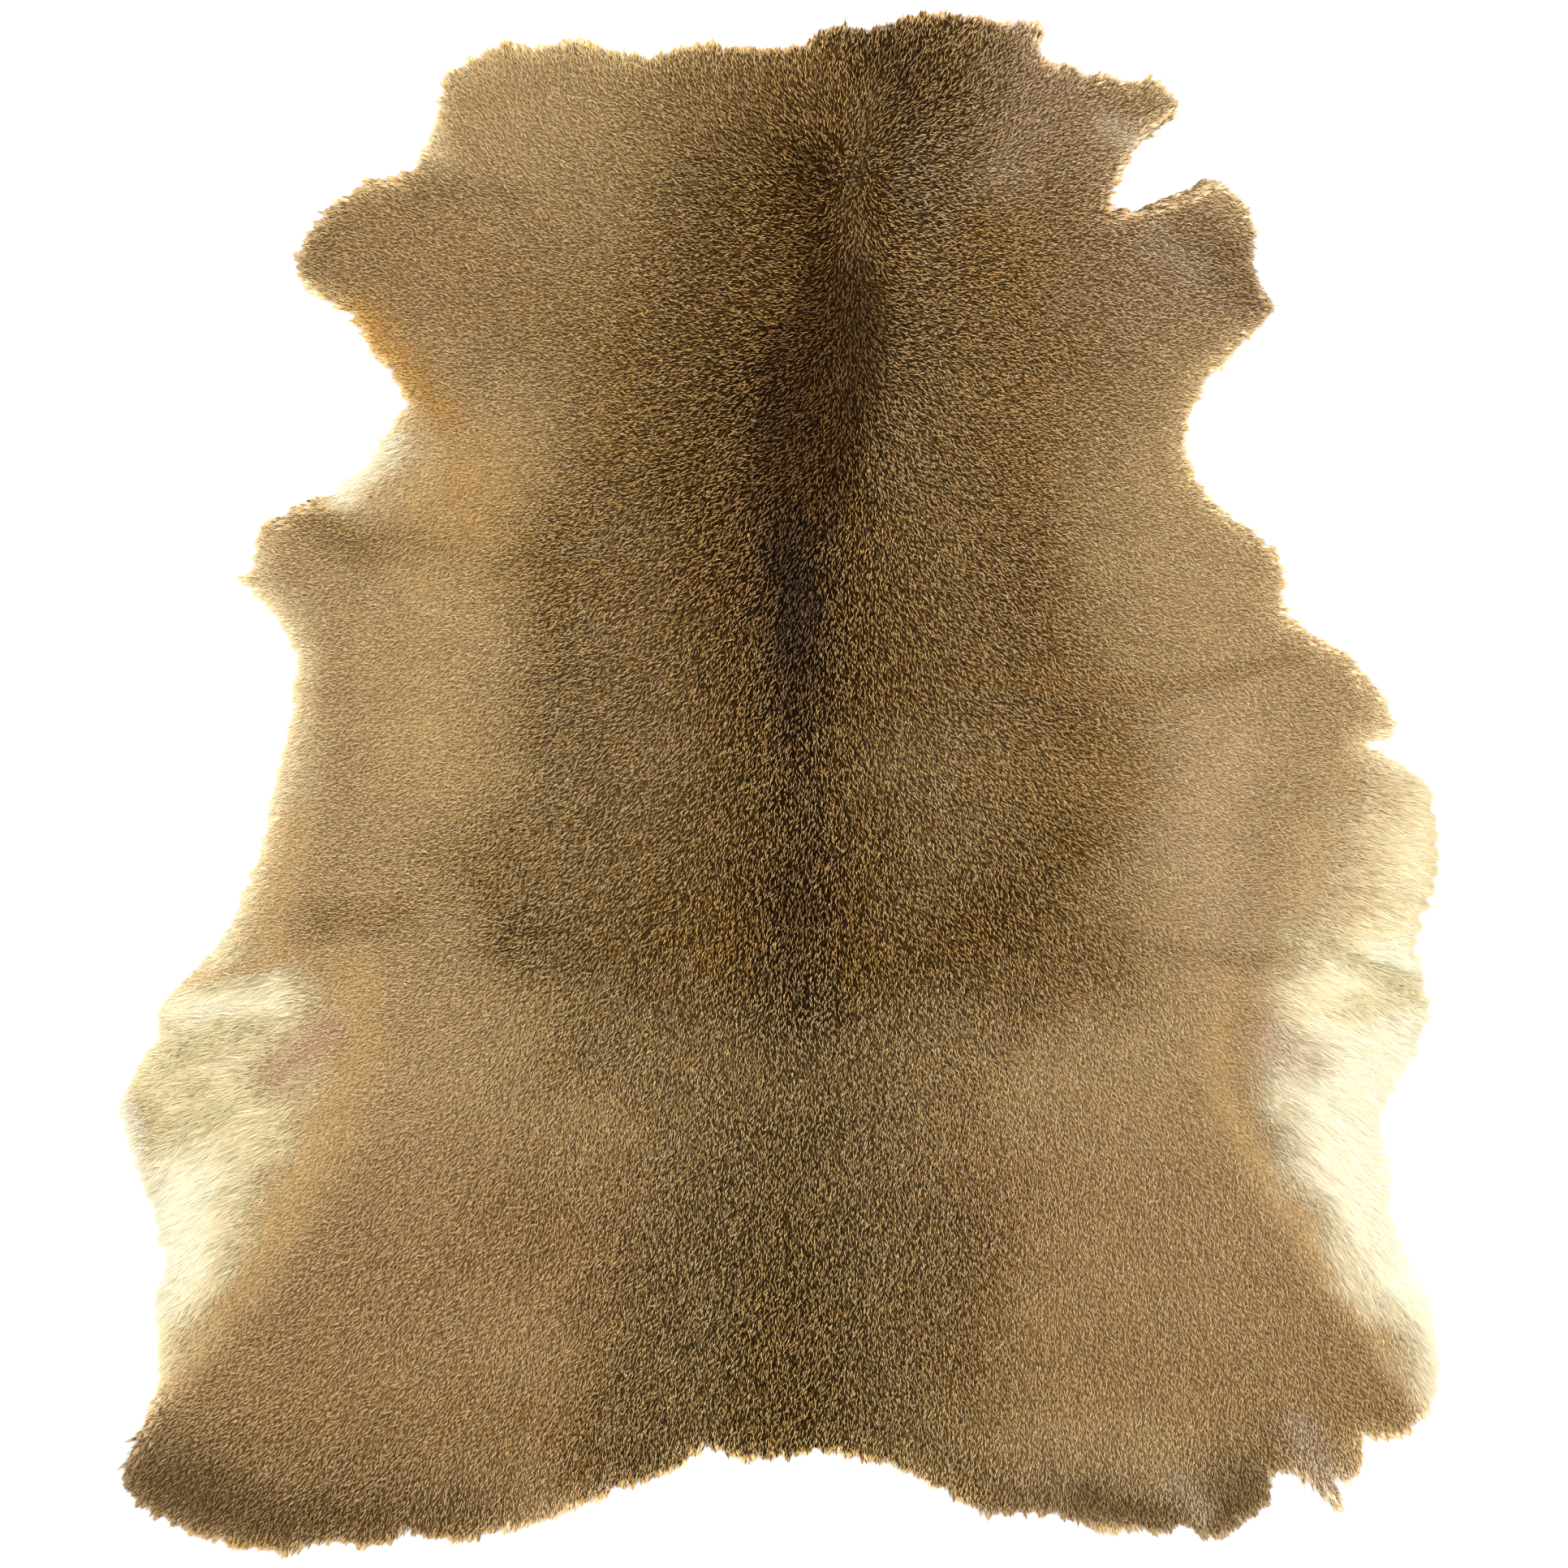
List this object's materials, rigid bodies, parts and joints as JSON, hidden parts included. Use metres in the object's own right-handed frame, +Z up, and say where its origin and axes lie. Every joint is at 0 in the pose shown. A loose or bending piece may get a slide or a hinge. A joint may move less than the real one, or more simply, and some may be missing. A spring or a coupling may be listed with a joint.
{
  "type": "deerhide rug",
  "caption": "Whole tanned deer hide with its hair on, laid flat as a rug: short brown coat with a dark back, pale belly edges and an irregular trimmed outline.",
  "frame": {"origin": "the point on the floor under the middle of the hide's box", "axes": "+X to the right as seen from above with the neck away from the viewer, +Y from the tail to the neck, +Z up out of the hair"},
  "size_m": [0.941, 1.1, 0.0147],
  "materials": {
    "deer_hair": "matte",
    "suede_back": "matte"
  },
  "bodies": {
    "root": {"deer_hide": "deer_hair"}
  },
  "joints": []
}
